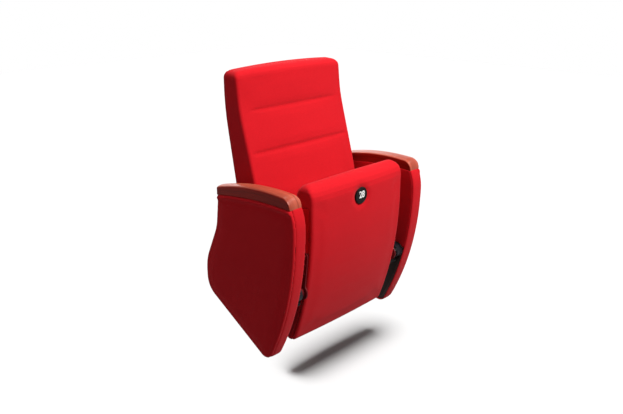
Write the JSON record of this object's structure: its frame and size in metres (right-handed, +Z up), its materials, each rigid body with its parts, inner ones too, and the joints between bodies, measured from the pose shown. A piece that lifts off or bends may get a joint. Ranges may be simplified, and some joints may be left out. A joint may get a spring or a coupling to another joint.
{
  "type": "tip up auditorium seat",
  "caption": "Riser-mounted auditorium seat with upholstered side panels, wooden armrests, a sewn backrest and a spring-loaded seat that folds up.",
  "frame": {"origin": "middle of the four riser bolt holes, on the rear face of the riser plates", "axes": "+Z up, +Y to the back, square to the riser, +X to the right of someone who faces the seat from the front"},
  "size_m": [0.62, 0.415, 0.8732],
  "materials": {
    "seat_fabric": "plain woven red upholstery",
    "armrest_wood": "satin lacquered, reddish brown",
    "plywood": "plain",
    "stained_wood": "stained dark",
    "black_steel": "black powder coat",
    "red_steel": "powder coat matched to the cloth",
    "zinc_steel": "zinc plated",
    "spring_steel": "oiled",
    "black_plastic": "moulded",
    "nylon": "natural",
    "black_rubber": "plain",
    "number_black": "polished"
  },
  "bodies": {
    "frame": {"armrest_dowels_left": "plywood", "armrest_dowels_right": "plywood", "armrest_left": "armrest_wood", "armrest_right": "armrest_wood", "backrest_board": "plywood", "backrest_bracket_left": "black_steel", "backrest_bracket_right": "black_steel", "backrest_cushion": "seat_fabric", "backrest_rear_cover": "seat_fabric", "backrest_screws": "zinc_steel", "beam_bolts_left": "zinc_steel", "beam_bolts_right": "zinc_steel", "beam_end_left": "black_steel", "beam_end_right": "black_steel", "cross_beam": "black_steel", "edge_band_left": "seat_fabric", "edge_band_right": "seat_fabric", "inner_pad_left": "seat_fabric", "inner_pad_right": "seat_fabric", "outer_pad_left": "seat_fabric", "outer_pad_right": "seat_fabric", "pivot_cover_left": "black_plastic", "pivot_cover_right": "black_plastic", "pivot_stud_left": "zinc_steel", "pivot_stud_right": "zinc_steel", "riser_gussets_left": "black_steel", "riser_gussets_right": "black_steel", "riser_plate_left": "black_steel", "riser_plate_right": "black_steel", "side_core_left": "stained_wood", "side_core_right": "stained_wood", "stanchion_left": "black_steel", "stanchion_right": "black_steel", "stanchion_screws_left": "zinc_steel", "stanchion_screws_right": "zinc_steel", "stop_pins_left": "zinc_steel", "stop_pins_right": "zinc_steel", "stop_sleeves_left": "black_rubber", "stop_sleeves_right": "black_rubber", "stud_nut_left": "zinc_steel", "stud_nut_right": "zinc_steel", "torsion_spring_left": "spring_steel", "torsion_spring_right": "spring_steel", "wing_bolts_left": "zinc_steel", "wing_bolts_right": "zinc_steel"},
    "seat": {"bracket_screws_left": "zinc_steel", "bracket_screws_right": "zinc_steel", "number_plate": "number_black", "pivot_bush_left": "nylon", "pivot_bush_right": "nylon", "seat_board": "plywood", "seat_bracket_left": "red_steel", "seat_bracket_right": "red_steel", "seat_cushion": "seat_fabric", "seat_front_cover": "seat_fabric"}
  },
  "joints": [
    {"name": "seat_tip", "type": "hinge", "parent": "frame", "child": "seat", "pos_m": [0, -0.355, 0.038], "axis": [1, 0, 0], "range_deg": [0, 82], "stiffness_Nm_per_rad": 2.6, "springref_deg": -57.3, "deforming": ["torsion_spring_left", "torsion_spring_right"]}
  ]
}
